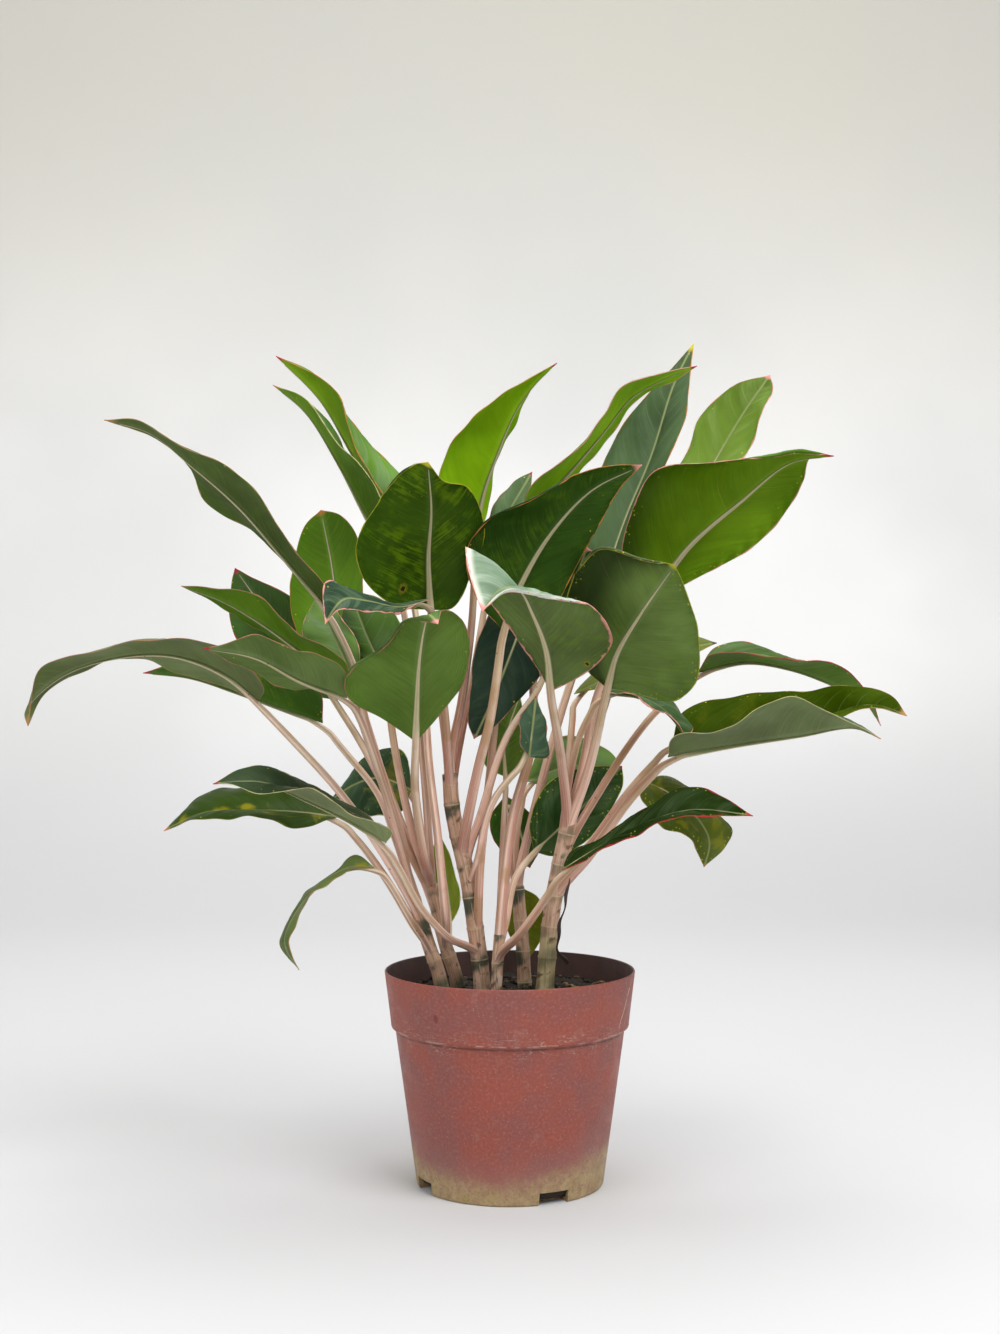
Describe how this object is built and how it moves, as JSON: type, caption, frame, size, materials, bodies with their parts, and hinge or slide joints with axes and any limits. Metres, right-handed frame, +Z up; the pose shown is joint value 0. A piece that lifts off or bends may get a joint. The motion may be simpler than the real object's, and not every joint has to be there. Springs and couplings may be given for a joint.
{
  "type": "potted chinese evergreen",
  "caption": "House plant in a tapered plastic nursery pot: broad, pointed, wavy leaves on long pink stalks that rise from ringed canes in dark soil.",
  "frame": {"origin": "centre of the pot's flat underside, on the surface it stands on", "axes": "+Z up out of the pot, -Y towards the front of the plant, +X to the right as seen from the front"},
  "size_m": [0.682, 0.3516, 0.6968],
  "materials": {
    "pot": "satin",
    "soil": "matte",
    "root": "matte",
    "cane": "matte",
    "petiole": "satin",
    "leaf": "satin"
  },
  "bodies": {
    "root": {"pot": "pot", "soil": "soil", "surface_roots": "root", "cane_left": "cane", "petioles_left": "petiole", "leaf_left_1": "leaf", "leaf_left_2": "leaf", "leaf_left_3": "leaf", "leaf_left_4": "leaf", "leaf_left_5": "leaf", "leaf_left_6": "leaf", "leaf_left_7": "leaf", "cane_inner_left": "cane", "petioles_inner_left": "petiole", "leaf_inner_left_1": "leaf", "leaf_inner_left_2": "leaf", "leaf_inner_left_3": "leaf", "leaf_inner_left_4": "leaf", "leaf_inner_left_5": "leaf", "leaf_inner_left_6": "leaf", "leaf_inner_left_7": "leaf", "leaf_inner_left_8": "leaf", "leaf_inner_left_9": "leaf", "cane_centre": "cane", "petioles_centre": "petiole", "leaf_centre_1": "leaf", "leaf_centre_2": "leaf", "leaf_centre_3": "leaf", "leaf_centre_4": "leaf", "leaf_centre_5": "leaf", "leaf_centre_6": "leaf", "leaf_centre_7": "leaf", "leaf_centre_8": "leaf", "leaf_centre_9": "leaf", "cane_front": "cane", "petioles_front": "petiole", "leaf_front_1": "leaf", "leaf_front_2": "leaf", "leaf_front_3": "leaf", "leaf_front_4": "leaf", "cane_right": "cane", "petioles_right": "petiole", "leaf_right_1": "leaf", "leaf_right_2": "leaf", "leaf_right_3": "leaf", "leaf_right_4": "leaf", "leaf_right_5": "leaf", "leaf_right_6": "leaf", "leaf_right_7": "leaf", "leaf_right_8": "leaf", "leaf_right_9": "leaf", "leaf_right_10": "leaf", "cane_back": "cane", "petioles_back": "petiole", "leaf_back_1": "leaf", "leaf_back_2": "leaf", "leaf_back_3": "leaf", "leaf_back_4": "leaf"}
  },
  "joints": []
}
